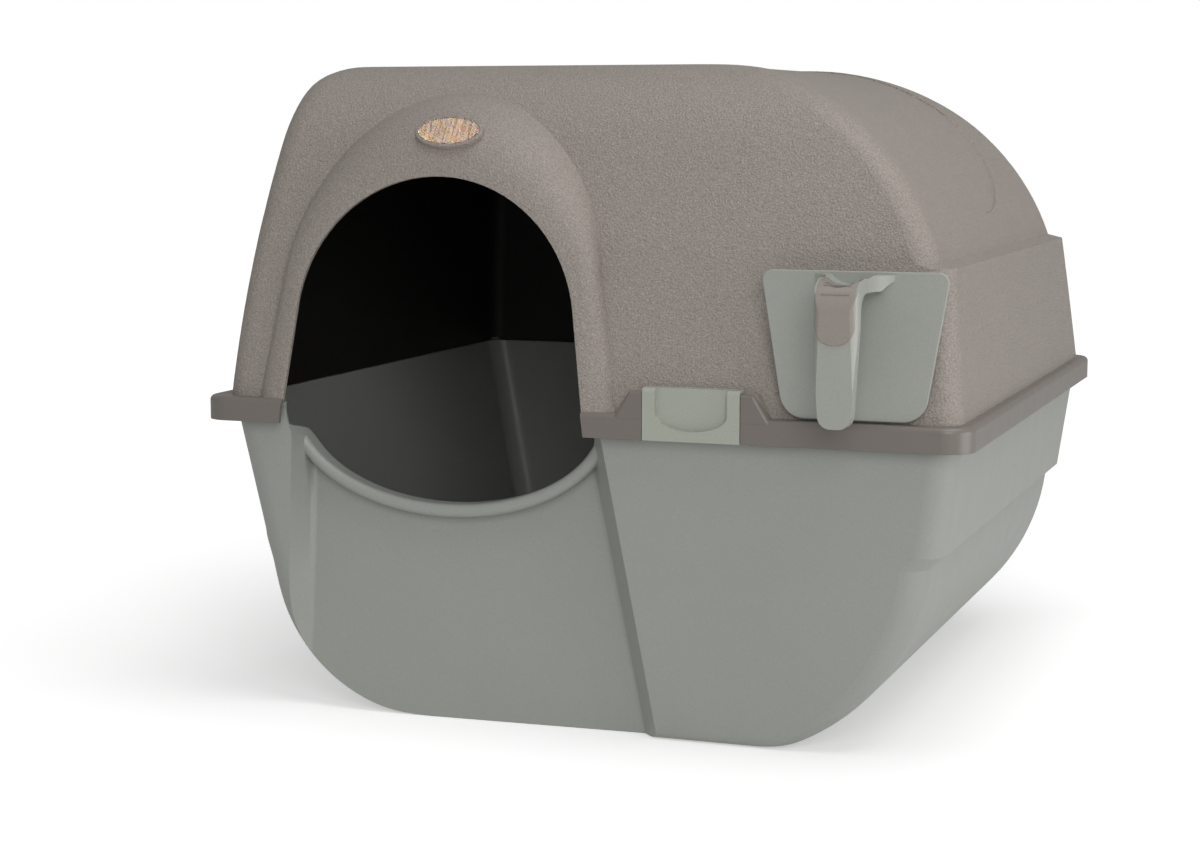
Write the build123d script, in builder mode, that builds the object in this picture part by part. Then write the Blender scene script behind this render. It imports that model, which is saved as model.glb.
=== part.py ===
from build123d import *
import os
from math import atan, cos, radians, sin, sqrt, tan

# Self-cleaning litter box: a pan, a hood with an arched entrance, and a slide-out waste tray.
# Millimetres. X runs left to right along the front, Y runs from front to back, Z is up.
# The origin is on the floor, in the middle of the rim's width and depth.

# Whole box
RIM_WIDTH = 584.0           # outside of the rim, left to right
RIM_DEPTH = 548.0           # outside of the rim, front to back
RIM_LOW = 222.0             # underside of the rim
RIM_HEIGHT = 18.0
RIM_CORNER = 20.0           # plan radius of the rim's corners
RIM_EDGE = 4.0              # rounding of the rim's upper outer edge
ROOF_HEIGHT = 487.0         # floor to roof
WALL = 3.0                  # moulded wall of pan and hood
SEAT_GAP = 0.3              # clearance where one piece rests on another
LEVELS = 11                 # sections through each rounded stretch

# Hood walls, measured at the top of the rim
HOOD_FRONT_INSET = 12.0     # rim face to hood wall, front and back
HOOD_LEFT_INSET = 14.0
HOOD_RIGHT_INSET = 9.0
FRONT_LEAN = 9.3            # degrees from upright
FRONT_BOW = 1325.0          # large radius that bows the front
FRONT_ROOF_RADIUS = 82.0
LEFT_LEAN = 3.7
LEFT_BOW = 1825.0
LEFT_ROOF_RADIUS = 25.0
CHEEK_LEAN = 6.2
CHEEK_HEIGHT = 105.0        # step in the right wall, above the rim
CHEEK_STEP = 12.0
STEP_RISE = 3.0
BARREL_RADIUS = 196.0       # round right shoulder that the box rolls on
HOOD_CORNER = 15.5          # plan radius of the corners at the rim
ROOF_CORNER = 25.0          # plan radius of the corners at the roof

# Shallow panel on the barrel
PANEL_DEPTH = 1.4
PANEL_HALF_WIDTH = 135.0
PANEL_LOW = 374.0
PANEL_END_RADIUS = 166.0
PANEL_CORNER = 18.0
PANEL_LEFT = 60.0

# Arched entrance and the raised surround
ARCH_X = -106.0
ARCH_FOOT_HALF = 121.0
ARCH_TOP = 407.5
ARCH_LEAN = 7.5             # the arch's sides, degrees from upright
ARCH_TILT = 6.5             # the arch's plane leans back by this angle
ARCH_FRONT_GAP = 1.0        # rim face to the foot of the arch
SURROUND_BAND = 22.5        # width of the rolled band at the foot
SURROUND_LIP = 2.5          # flat land between the opening and the band
SURROUND_TOP = 466.0
SURROUND_LEAN = 10.5
SURROUND_SIDE_ROLL = 12.0   # depth of the rolled band at the sides
SURROUND_TOP_ROLL = 57.0    # depth of the rolled band at the top
SURROUND_LEVELS = 8
SURROUND_ROOT = 25.0        # how far the hollow behind the band runs back

# Pan
PAN_LEFT_INSET = 14.7       # rim face to pan wall, at the top of the rim
PAN_RIGHT_INSET = 9.0
PAN_FRONT_INSET = 12.0
PAN_LEFT_LEAN = 11.8
PAN_LEFT_RADIUS = 117.0
PAN_RIGHT_LEAN = 7.9
PAN_STEP_LOW = 137.0        # step in the right wall
PAN_STEP_RISE = 9.0
PAN_STEP = 10.0
PAN_RIGHT_RADIUS = 169.0
PAN_ROUND_CENTRE = 156.0    # height of that radius's centre
PAN_TOE_RADIUS = 41.5       # small turn into the flat bottom
PAN_FRONT_LEAN = 3.2
PAN_FRONT_RADIUS = 7.0
PAN_BOW = 1.0e6             # the pan's walls are straight
PAN_CORNER = 19.0
FLANGE_THICK = 3.0
SKIRT_GAP = 1.0             # flange edge to the inside of the hood's skirt

# Bay in the pan's front, below the entrance
BAY_LEFT_TOP = 221.4        # outer crease left of the origin, at the rim's top
BAY_LEFT_FOOT = 232.7
BAY_LEFT_RUN_TOP = 1.0      # sideways run from the outer to the inner crease
BAY_LEFT_RUN_FOOT = 15.5
BAY_LEFT_DEPTH_FOOT = 3.0
BAY_RIGHT_TOP = 19.9        # outer crease right of the origin, at the rim's top
BAY_RIGHT_FOOT = 62.8
BAY_RIGHT_RUN_TOP = 23.0
BAY_RIGHT_RUN_FOOT = 14.0
BAY_RIGHT_DEPTH_FOOT = 14.0
BAY_DEPTH_TOP = 35.0
BAY_AHEAD = 1.0             # how far the bay's sides carry on in front of the wall
BAY_ROUND = 5.0

# Entrance dip and its rolled lip
DIP_HALF_WIDTH = 121.8
DIP_DEPTH = 69.6
DIP_CENTRE = 232.0
LIP_BAND = 10.0
LIP_FRONT = 243.0           # distance of the lip's face in front of the origin
LIP_ROUND = 4.0

# Clips
CLIP_WIDTH = 71.6
CLIP_GAP = 0.5
CLIP_THICK = 9.7
CLIP_LAND = 2.2             # thickness of the hook over the catch
CLIP_ROUND = 4.0
KNUCKLE_RADIUS = 4.7
TRUNNION_RADIUS = 2.5
TRUNNION_LENGTH = 4.5
TRUNNION_FIT = 0.06
PIVOT_IN = 7.0              # rim face to the clip's pivot axis
HOOK_REACH = 4.5
HOOK_DROP = 1.0
HOOK_LIP = 1.8
THUMB_HALF_WIDTH = 26.5
THUMB_LOW = 229.5
THUMB_MIDDLE = 241.0
THUMB_DEPTH = 4.5
BUMP_TOP = 257.0
BUMP_SHOULDER = 10.0
BUMP_SLOPE = 12.0
BUMP_EDGE = 2.5
EAR_THICK = 5.0
FRONT_CLIP_X = 95.0
LEFT_CLIP_Y = 150.0

# Waste tray
TRAY_X = 206.0
TRAY_TOP_HALF = 46.0
TRAY_FOOT_HALF = 35.0
TRAY_LOW = 245.5
TRAY_TOP = 334.0
TRAY_BACK = 228.0
TRAY_WALL = 2.2
TRAY_CORNER = 12.0
TRAY_GAP = 2.0              # hood opening around the tray
PLATE_X = 209.3
PLATE_TOP_HALF = 66.3
PLATE_FOOT_HALF = 49.5
PLATE_LOW = 241.5
PLATE_TOP = 344.0
PLATE_THICK = 2.5
PLATE_FRONT = 267.0         # distance of the plate's face in front of the origin
PLATE_FOOT_CORNER = 18.0
PLATE_TOP_CORNER = 7.0
PLATE_EDGE = 0.8

# Handle
HANDLE_X = 209.5
HANDLE_FRONT = 323.0
HANDLE_TOP = 342.0
HANDLE_LOW = 241.7
HANDLE_WALL = 2.4
HANDLE_DEPTH = 11.0
HANDLE_BEND = 24.0
HANDLE_FOOT_SLANT = 3.0     # the grip leans back to the plate by this much at its foot
GRIP_TOP_HALF = 15.5
GRIP_FOOT_HALF = 11.0
GRIP_ROUND = 9.0
GRIP_FOOT_ROUND = 9.0
NECK_FLARE_HALF = 30.0
NECK_LENGTH = 30.0
WING_THICK = 3.3            # thickness at the tips of the flare
WING_LOW = 310.0
NECK_BELL = 0.3             # share of the flare reached at the middle of its curve
SADDLE_RADIUS = 22.0
SADDLE_DEPTH = 7.0
PAD_THICK = 1.0
PAD_LOW = 298.0
PAD_EDGE = 2.0
PAD_BACK = 288.0
RIDGE_ANGLES = [34.0, 52.0, 61.0, 70.0, 79.0]   # degrees up the bend from its front
RIDGE_HALF_WIDTH = 9.5
RIDGE_THICK = 0.9
RIDGE_RISE = 0.6

# Tray channel, grille and their screws
CHANNEL_LEFT = 154.0
CHANNEL_RIGHT = 271.0
CHANNEL_THICK = 2.6
CHANNEL_FLANGE = 12.0
CHANNEL_END_GAP = 1.5
CHANNEL_WALL_TOP = 345.0
BOSS_RADIUS = 5.5
BOSS_FROM_WALL = 12.0
BOSS_RIGHT_X = 264.0
SCREW_RADIUS = 1.5
SCREW_LENGTH = 13.0
SCREW_HEAD_RADIUS = 3.8
SCREW_HEAD_THICK = 2.2
SCREW_HOLE_GAP = 0.4
SCREW_FIT = 0.05
GRILLE_HIGH_X = 4.0
GRILLE_HIGH_Z = 430.0
GRILLE_LIP = 20.0
GRILLE_THICK = 3.0
GRILLE_EDGE_GAP = 1.0
GRILLE_SEAT = 6.0
SLOT_WIDTH = 10.0
SLOT_PITCH = 16.0
SLOT_COUNT = 25
SLOT_RIB = 6.0
SLOT_ROWS = 3
SLOT_MARGIN = 8.0
ROOF_BOSS_Y = 130.0

# Badge seat above the entrance, left without a badge design
BADGE_X = -100.0
BADGE_LENGTH = 48.0
BADGE_WIDTH = 23.0
BADGE_HEIGHT = 438.0
BADGE_TILT = 35.0
BADGE_FORWARD = 243.5       # distance of the seat in front of the origin
BADGE_BORDER = 2.6
BADGE_SINK = 1.6
BADGE_STAND = 0.8
BADGE_ROOT = 10.0
BADGE_FIT = 0.2
FOIL_THICK = 0.5
DOME_RISE = 1.1

RIM_TOP = RIM_LOW + RIM_HEIGHT
FLANGE_TOP = RIM_TOP - WALL - SEAT_GAP
CHEEK_TOP = RIM_TOP + CHEEK_HEIGHT
HALF_WIDTH = RIM_WIDTH / 2
HALF_DEPTH = RIM_DEPTH / 2
PIVOT_Z = RIM_LOW + KNUCKLE_RADIUS
CLIP_TOP = BUMP_TOP + SEAT_GAP + CLIP_LAND
CUT_AHEAD = 20.0            # how far ahead of the box cuts made from the front start
CUT_REACH = 110.0           # how far they run back


def rounded_wall(z, foot, foot_z, lean, bow, radius, top, inset):
    """Reach from the middle of a leaning, bowed wall that rounds into a flat top."""
    angle = radians(lean)
    for _ in range(4):
        tangent_z = top - radius * (1 - sin(angle))
        angle = atan(tan(radians(lean)) + (tangent_z - foot_z) / bow)
    tangent_rise = tangent_z - foot_z
    tangent_reach = foot - tangent_rise * tan(radians(lean)) - tangent_rise**2 / (2 * bow)
    centre_reach = tangent_reach - radius * cos(angle)
    centre_z = top - radius
    if z > centre_z + (radius - inset) * sin(angle):
        return centre_reach + sqrt(max((radius - inset) ** 2 - (z - centre_z) ** 2, 0.0))
    rise = z - foot_z
    local = atan(tan(radians(lean)) + rise / bow)
    return foot - rise * tan(radians(lean)) - rise**2 / (2 * bow) - inset / cos(local)


def hood_front(z, inset):
    foot = HALF_DEPTH - HOOD_FRONT_INSET
    return rounded_wall(z, foot, RIM_TOP, FRONT_LEAN, FRONT_BOW, FRONT_ROOF_RADIUS, ROOF_HEIGHT, inset)


def hood_left(z, inset):
    foot = HALF_WIDTH - HOOD_LEFT_INSET
    return rounded_wall(z, foot, RIM_TOP, LEFT_LEAN, LEFT_BOW, LEFT_ROOF_RADIUS, ROOF_HEIGHT, inset)


def cheek_reach(z, inset):
    return HALF_WIDTH - HOOD_RIGHT_INSET - (z - RIM_TOP) * tan(radians(CHEEK_LEAN)) - inset


def barrel_reach(z, inset):
    """The barrel starts one step in from the cheek's top and is tangent to the roof."""
    centre_z = ROOF_HEIGHT - BARREL_RADIUS
    start = cheek_reach(CHEEK_TOP, 0) - CHEEK_STEP
    rise = CHEEK_TOP + STEP_RISE - centre_z
    centre_x = start - sqrt(BARREL_RADIUS**2 - rise**2)
    return centre_x + sqrt(max((BARREL_RADIUS - inset) ** 2 - (z - centre_z) ** 2, 0.0))


def hood_corner(z, inset):
    share = (z - RIM_TOP) / (ROOF_HEIGHT - RIM_TOP)
    return HOOD_CORNER + (ROOF_CORNER - HOOD_CORNER) * share**3 - inset


def level_face(z, left, right, front, corner):
    """Horizontal rounded rectangle, the same depth in front of and behind the origin."""
    with BuildSketch(Plane.XY.offset(z)) as level:
        with Locations(((right - left) / 2, 0)):
            RectangleRounded(left + right, 2 * front, corner)
    return level.sketch.faces()[0]


def hood_face(z, right, inset):
    return level_face(z, hood_left(z, inset), right, hood_front(z, inset), hood_corner(z, inset))


def hood_volume(inset, foot_z):
    """Solid outline of the hood, drawn in by inset from its outside."""
    top = ROOF_HEIGHT - inset
    step_top = CHEEK_TOP + STEP_RISE
    cheek_levels = [foot_z + (CHEEK_TOP - foot_z) * k / 3 for k in range(4)]
    turns = [sin(radians(90 * k / LEVELS)) for k in range(LEVELS + 1)]
    upper_levels = [step_top + (top - step_top) * turn for turn in turns]
    cheek_faces = [hood_face(z, cheek_reach(z, inset), inset) for z in cheek_levels]
    upper_faces = [hood_face(z, barrel_reach(z, inset), inset) for z in upper_levels]
    with BuildPart() as volume:
        loft(sections=cheek_faces)
        loft(sections=[cheek_faces[-1], upper_faces[0]], ruled=True)
        loft(sections=upper_faces)
    return volume.part


def arch_plane(back):
    """Plane parallel to the entrance, moved back by the given distance."""
    tilt = radians(ARCH_TILT)
    origin = (ARCH_X, -HALF_DEPTH + ARCH_FRONT_GAP + back, RIM_LOW)
    return Plane(origin=origin, x_dir=(1, 0, 0), z_dir=(0, -cos(tilt), sin(tilt)))


def arch_face(back, half_width, top, lean):
    """Arch with leaning straight sides and a round top that is tangent to them."""
    angle = radians(lean)
    height = (top - RIM_LOW) / cos(radians(ARCH_TILT))
    radius = (half_width * cos(angle) - height * sin(angle)) / (1 - sin(angle))
    spring_x = radius * cos(angle)
    spring_y = height - radius + radius * sin(angle)
    with BuildSketch(arch_plane(back)) as arch:
        with BuildLine():
            foot = Line((-half_width, 0), (half_width, 0))
            right = Line(foot @ 1, (spring_x, spring_y))
            crown = ThreePointArc(right @ 1, (0, height), (-spring_x, spring_y))
            Line(crown @ 1, foot @ 0)
        make_face()
    return arch.sketch.faces()[0]


def surround_volume(inset, foot_extra):
    """Rolled dormer around the entrance, a quarter round from the lip to the hood."""
    lip_half = ARCH_FOOT_HALF + SURROUND_LIP
    lip_top = ARCH_TOP + SURROUND_LIP
    faces = []
    for k in range(SURROUND_LEVELS):
        angle = radians(90 * k / (SURROUND_LEVELS - 1))
        back = SURROUND_TOP_ROLL * (1 - cos(angle))
        side_share = max(1 - back / SURROUND_SIDE_ROLL, 0.0)
        half = lip_half + SURROUND_BAND * sqrt(1 - side_share**2)
        top = lip_top + (SURROUND_TOP - lip_top) * sin(angle)
        lean = ARCH_LEAN + (SURROUND_LEAN - ARCH_LEAN) * sqrt(1 - side_share**2)
        faces.append(arch_face(back + inset, half - inset, top - inset, lean))
    with BuildPart() as volume:
        loft(sections=faces)
        extrude(faces[-1], amount=-foot_extra)
    return volume.part


def clip_place(side_x, side_y, turn):
    """Local frame of a clip: x along the rim, y inwards from the rim's face."""
    return Location((side_x, side_y, 0), (0, 0, turn))


FRONT_PLACE = clip_place(FRONT_CLIP_X, -HALF_DEPTH, 0)
REAR_PLACE = clip_place(FRONT_CLIP_X, HALF_DEPTH, 180)
LEFT_FRONT_PLACE = clip_place(-HALF_WIDTH, -LEFT_CLIP_Y, -90)
LEFT_REAR_PLACE = clip_place(-HALF_WIDTH, LEFT_CLIP_Y, -90)
CLIP_PLACES = [FRONT_PLACE, REAR_PLACE, LEFT_FRONT_PLACE, LEFT_REAR_PLACE]


def bump_block(depth):
    """Raised catch on the rim, with sloping shoulders either side of the clip."""
    top_half = CLIP_WIDTH / 2 + BUMP_SHOULDER
    foot_half = top_half + BUMP_SLOPE
    with BuildPart() as bump:
        with BuildSketch(Plane.XZ):
            with BuildLine():
                Polyline(
                    (-foot_half, RIM_TOP - WALL),
                    (foot_half, RIM_TOP - WALL),
                    (top_half, BUMP_TOP),
                    (-top_half, BUMP_TOP),
                    close=True,
                )
            make_face()
        extrude(amount=-depth)
        upper = bump.edges().filter_by(Axis.X).group_by(Axis.Z)[-1].sort_by(Axis.Y)[0]
        ends = bump.faces().sort_by(Axis.Y)[0].edges().filter_by(Axis.X, reverse=True)
        fillet([upper] + list(ends), radius=BUMP_EDGE)
    return bump.part


def clip_notch():
    """Room for a clip in the rim, with the groove that its hook drops into."""
    hook_start = CLIP_THICK + SEAT_GAP
    with BuildPart() as notch:
        with BuildSketch(Plane.XY.offset(RIM_LOW - 1)):
            Rectangle(CLIP_WIDTH + 2 * CLIP_GAP, hook_start, align=(Align.CENTER, Align.MIN))
        extrude(amount=BUMP_TOP - RIM_LOW + 2)
        with BuildSketch(Plane.XY.offset(BUMP_TOP - HOOK_DROP - SEAT_GAP)):
            with Locations((0, hook_start + HOOK_REACH - HOOK_LIP - 2 * SEAT_GAP)):
                groove = HOOK_LIP + 4 * SEAT_GAP
                Rectangle(CLIP_WIDTH + 2 * CLIP_GAP, groove, align=(Align.CENTER, Align.MIN))
        extrude(amount=HOOK_DROP + SEAT_GAP + 1)
    return notch.part


def clip_ears(depth):
    """Two ears on the pan that hold a clip's trunnions."""
    inner = CLIP_WIDTH / 2 + CLIP_GAP
    with BuildPart() as ears:
        with BuildSketch(Plane.YZ.offset(inner)):
            with BuildLine():
                Polyline(
                    (WALL + SKIRT_GAP, FLANGE_TOP - FLANGE_THICK),
                    (WALL + SKIRT_GAP, RIM_LOW + SEAT_GAP),
                    (depth, RIM_LOW + SEAT_GAP),
                    (depth, FLANGE_TOP - FLANGE_THICK),
                    close=True,
                )
            make_face()
            with Locations((PIVOT_IN, PIVOT_Z)):
                Circle(TRUNNION_RADIUS + TRUNNION_FIT, mode=Mode.SUBTRACT)
        extrude(amount=EAR_THICK)
        mirror(about=Plane.YZ)
    return ears.part


CHANNEL_LOW = TRAY_LOW - SEAT_GAP - CHANNEL_THICK
CHANNEL_FLOOR_TOP = CHANNEL_LOW + CHANNEL_THICK
CHANNEL_HALF_DEPTH = hood_front(CHANNEL_LOW, WALL) - CHANNEL_END_GAP
CHANNEL_SCREW_Y = CHANNEL_HALF_DEPTH - BOSS_FROM_WALL + CHANNEL_END_GAP
CHANNEL_SCREW_X = [CHANNEL_LEFT - CHANNEL_FLANGE / 2, BOSS_RIGHT_X]
CHANNEL_SCREWS = [(x, y) for x in CHANNEL_SCREW_X for y in (-CHANNEL_SCREW_Y, CHANNEL_SCREW_Y)]
GRILLE_SCREW_X = GRILLE_HIGH_X - GRILLE_LIP / 2
GRILLE_SCREWS = [(GRILLE_SCREW_X, y) for y in (-ROOF_BOSS_Y, 0, ROOF_BOSS_Y)]


def tray_outline(plane, extra, open_top=0.0):
    """Tapered section of the waste tray, grown by extra on every side."""
    spread = (TRAY_TOP_HALF - TRAY_FOOT_HALF) / (TRAY_TOP - TRAY_LOW) * open_top
    with BuildSketch(plane) as section:
        with BuildLine():
            Polyline(
                (TRAY_X - TRAY_FOOT_HALF - extra, TRAY_LOW - extra),
                (TRAY_X + TRAY_FOOT_HALF + extra, TRAY_LOW - extra),
                (TRAY_X + TRAY_TOP_HALF + extra + spread, TRAY_TOP + extra + open_top),
                (TRAY_X - TRAY_TOP_HALF - extra - spread, TRAY_TOP + extra + open_top),
                close=True,
            )
        make_face()
        fillet(section.vertices().group_by(Axis.Y)[0], radius=TRAY_CORNER + extra)
    return section.sketch.faces()[0]


def badge_plane(rise):
    tilt = radians(BADGE_TILT)
    centre = (BADGE_X, -BADGE_FORWARD, BADGE_HEIGHT)
    seat = Plane(origin=centre, x_dir=(1, 0, 0), z_dir=(0, -cos(tilt), sin(tilt)))
    return seat.offset(rise)


def make_badge_seat():
    """Oval pad on the surround's crown, with a rounded border."""
    with BuildPart() as seat:
        with BuildSketch(badge_plane(BADGE_STAND)):
            Ellipse(BADGE_LENGTH / 2 + BADGE_BORDER, BADGE_WIDTH / 2 + BADGE_BORDER)
        extrude(amount=-BADGE_ROOT)
        fillet(seat.faces().sort_by(Axis.Z)[-1].edges(), radius=BADGE_BORDER / 2)
    return seat.part


def make_badge_pocket():
    with BuildPart() as pocket:
        with BuildSketch(badge_plane(BADGE_STAND - BADGE_SINK)):
            Ellipse(BADGE_LENGTH / 2 + BADGE_FIT, BADGE_WIDTH / 2 + BADGE_FIT)
        extrude(amount=BADGE_ROOT)
    return pocket.part


def make_panel_cut():
    """Shallow sunk panel that runs over the barrel from the roof."""
    with BuildPart() as panel:
        with BuildSketch(Plane.YZ.offset(PANEL_LEFT)) as outline:
            with Locations((0, PANEL_LOW + PANEL_END_RADIUS)):
                Circle(PANEL_END_RADIUS)
            with Locations((0, PANEL_LOW)):
                panel_box = (2 * PANEL_HALF_WIDTH, ROOF_HEIGHT)
                Rectangle(*panel_box, align=(Align.CENTER, Align.MIN), mode=Mode.INTERSECT)
            fillet(outline.vertices().group_by(Axis.Y)[0], radius=PANEL_CORNER)
        extrude(amount=HALF_WIDTH)
        add(hood_volume(PANEL_DEPTH, RIM_TOP - WALL), mode=Mode.SUBTRACT)
    return panel.part


def make_bosses():
    """Screw bosses under the roof and down the walls, joined to the shell at their upper ends."""
    with BuildPart() as bosses:
        with BuildSketch(Plane.XY.offset(CHANNEL_FLOOR_TOP + SEAT_GAP)):
            with Locations(*CHANNEL_SCREWS):
                Circle(BOSS_RADIUS)
        extrude(amount=ROOF_HEIGHT - CHANNEL_FLOOR_TOP)
        with BuildSketch(Plane.XY.offset(GRILLE_HIGH_Z + GRILLE_THICK + SEAT_GAP)):
            with Locations(*GRILLE_SCREWS):
                Circle(BOSS_RADIUS)
        extrude(amount=ROOF_HEIGHT - GRILLE_HIGH_Z)
        add(hood_volume(WALL / 2, RIM_LOW), mode=Mode.INTERSECT)
        with BuildSketch(Plane.XY.offset(CHANNEL_FLOOR_TOP)):
            with Locations(*CHANNEL_SCREWS):
                Circle(SCREW_RADIUS)
        extrude(amount=SCREW_LENGTH, mode=Mode.SUBTRACT)
        with BuildSketch(Plane.XY.offset(GRILLE_HIGH_Z + GRILLE_THICK)):
            with Locations(*GRILLE_SCREWS):
                Circle(SCREW_RADIUS)
        extrude(amount=SCREW_LENGTH, mode=Mode.SUBTRACT)
    return bosses.part


def make_hood():
    outer = hood_volume(0, RIM_TOP - WALL)
    inner = hood_volume(WALL, RIM_LOW - 1)
    panel_cut = make_panel_cut()
    surround = surround_volume(0, WALL)
    surround_inner = surround_volume(WALL, SURROUND_ROOT)
    opening = arch_face(-CUT_AHEAD, ARCH_FOOT_HALF, ARCH_TOP, ARCH_LEAN)
    bump_front = bump_block(HOOD_FRONT_INSET + WALL)
    bump_left = bump_block(HOOD_LEFT_INSET + WALL)
    notch = clip_notch()
    tray_hole = tray_outline(Plane.XZ.offset(HALF_DEPTH), TRAY_GAP)
    bosses = make_bosses()
    badge_seat = make_badge_seat()
    badge_pocket = make_badge_pocket()

    with BuildPart() as rim_block:
        with BuildSketch(Plane.XY.offset(RIM_LOW)):
            RectangleRounded(RIM_WIDTH, RIM_DEPTH, RIM_CORNER)
        extrude(amount=RIM_HEIGHT)
        fillet(rim_block.faces().sort_by(Axis.Z)[-1].edges(), radius=RIM_EDGE)
    rim = rim_block.part

    with BuildPart() as hood:
        add(outer)
        add(panel_cut, mode=Mode.SUBTRACT)
        add(rim)
        add(surround)
        with Locations(FRONT_PLACE, REAR_PLACE):
            add(bump_front)
        with Locations(LEFT_FRONT_PLACE, LEFT_REAR_PLACE):
            add(bump_left)
        add(badge_seat)
        add(inner, mode=Mode.SUBTRACT)
        add(surround_inner, mode=Mode.SUBTRACT)
        add(badge_pocket, mode=Mode.SUBTRACT)
        with BuildSketch(Plane.XY.offset(RIM_LOW - 1)):
            RectangleRounded(RIM_WIDTH - 2 * WALL, RIM_DEPTH - 2 * WALL, RIM_CORNER - WALL)
        extrude(amount=RIM_HEIGHT - WALL + 1, mode=Mode.SUBTRACT)
        with Locations(*CLIP_PLACES):
            add(notch, mode=Mode.SUBTRACT)
        extrude(opening, amount=-CUT_REACH, mode=Mode.SUBTRACT)
        extrude(tray_hole, amount=-CUT_REACH, mode=Mode.SUBTRACT)
        add(bosses)
    return hood.part


def pan_left(z, inset):
    foot = HALF_WIDTH - PAN_LEFT_INSET
    depth = RIM_TOP - z
    return rounded_wall(depth, foot, 0, PAN_LEFT_LEAN, PAN_BOW, PAN_LEFT_RADIUS, RIM_TOP, inset)


def pan_front(z, inset):
    foot = HALF_DEPTH - PAN_FRONT_INSET
    depth = RIM_TOP - z
    return rounded_wall(depth, foot, 0, PAN_FRONT_LEAN, PAN_BOW, PAN_FRONT_RADIUS, RIM_TOP, inset)


def pan_right_upper(z, inset):
    return HALF_WIDTH - PAN_RIGHT_INSET - (RIM_TOP - z) * tan(radians(PAN_RIGHT_LEAN)) - inset


def pan_right_lower(z, inset):
    """Round right foot, one step in from the wall above it, with a small turn at its toe."""
    start = pan_right_upper(PAN_STEP_LOW + PAN_STEP_RISE, 0) - PAN_STEP
    rise = PAN_STEP_LOW - PAN_ROUND_CENTRE
    centre_x = start - sqrt(PAN_RIGHT_RADIUS**2 - rise**2)
    span = PAN_RIGHT_RADIUS - PAN_TOE_RADIUS
    drop = PAN_ROUND_CENTRE - PAN_TOE_RADIUS
    toe_radius = PAN_TOE_RADIUS - inset
    if z < PAN_TOE_RADIUS - toe_radius * drop / span:
        toe_x = centre_x + sqrt(span**2 - drop**2)
        return toe_x + sqrt(max(toe_radius**2 - (z - PAN_TOE_RADIUS) ** 2, 0.0))
    return centre_x + sqrt((PAN_RIGHT_RADIUS - inset) ** 2 - (z - PAN_ROUND_CENTRE) ** 2)


def pan_face(z, right, inset):
    return level_face(z, pan_left(z, inset), right, pan_front(z, inset), PAN_CORNER - inset)


def pan_volume(inset, top):
    """Solid outline of the pan, drawn in by inset from its outside."""
    step_top = PAN_STEP_LOW + PAN_STEP_RISE
    drop = PAN_STEP_LOW - inset
    lower_levels = [PAN_STEP_LOW - drop * sin(radians(90 * k / LEVELS)) for k in range(LEVELS + 1)]
    lower_faces = [pan_face(z, pan_right_lower(z, inset), inset) for z in lower_levels]
    upper_faces = [pan_face(z, pan_right_upper(z, inset), inset) for z in (step_top, top)]
    with BuildPart() as volume:
        loft(sections=lower_faces)
        loft(sections=[lower_faces[0], upper_faces[0]], ruled=True)
        loft(sections=upper_faces, ruled=True)
    return volume.part


def bay_face(z, share, grow):
    """Plan of the bay at one height; share runs from 0 at the floor to 1 at the rim's top."""
    wall_y = HALF_DEPTH - PAN_FRONT_INSET - RIM_TOP * (1 - share) * tan(radians(PAN_FRONT_LEAN))
    left = -BAY_LEFT_FOOT + (BAY_LEFT_FOOT - BAY_LEFT_TOP) * share
    right = BAY_RIGHT_FOOT + (BAY_RIGHT_TOP - BAY_RIGHT_FOOT) * share
    left_run = BAY_LEFT_RUN_FOOT + (BAY_LEFT_RUN_TOP - BAY_LEFT_RUN_FOOT) * share
    right_run = BAY_RIGHT_RUN_FOOT + (BAY_RIGHT_RUN_TOP - BAY_RIGHT_RUN_FOOT) * share
    left_depth = BAY_LEFT_DEPTH_FOOT + (BAY_DEPTH_TOP - BAY_LEFT_DEPTH_FOOT) * share
    right_depth = BAY_RIGHT_DEPTH_FOOT + (BAY_DEPTH_TOP - BAY_RIGHT_DEPTH_FOOT) * share
    left_ahead = left - left_run * BAY_AHEAD / left_depth - grow
    right_ahead = right + right_run * BAY_AHEAD / right_depth + grow
    ahead_y = -wall_y - BAY_AHEAD + grow
    with BuildSketch(Plane.XY.offset(z)) as plan:
        with BuildLine():
            Polyline(
                (left + left_run - grow, -wall_y + left_depth + grow),
                (right - right_run + grow, -wall_y + right_depth + grow),
                (right_ahead, ahead_y),
                (right_ahead, -HALF_DEPTH - CUT_AHEAD),
                (left_ahead, -HALF_DEPTH - CUT_AHEAD),
                (left_ahead, ahead_y),
                close=True,
            )
        make_face()
    return plan.sketch.faces()[0]


def bay_volume(grow):
    """Wedge cut from the pan's front, grown sideways and backwards by the given distance."""
    with BuildPart() as bay:
        loft(sections=[bay_face(0, 0, grow), bay_face(RIM_TOP, 1, grow)], ruled=True)
        back_face = bay.faces().sort_by(Axis.Y)[-1]
        creases = back_face.edges().sort_by(Axis.X)
        fillet([creases[0], creases[-1]], radius=BAY_ROUND + grow)
    return bay.part


def dip_prism(extra):
    with BuildPart() as prism:
        with BuildSketch(Plane.XZ.offset(HALF_DEPTH + 1)):
            with Locations((ARCH_X, DIP_CENTRE)):
                Ellipse(DIP_HALF_WIDTH + extra, DIP_DEPTH + extra)
        extrude(amount=-CUT_REACH)
    return prism.part


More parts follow.
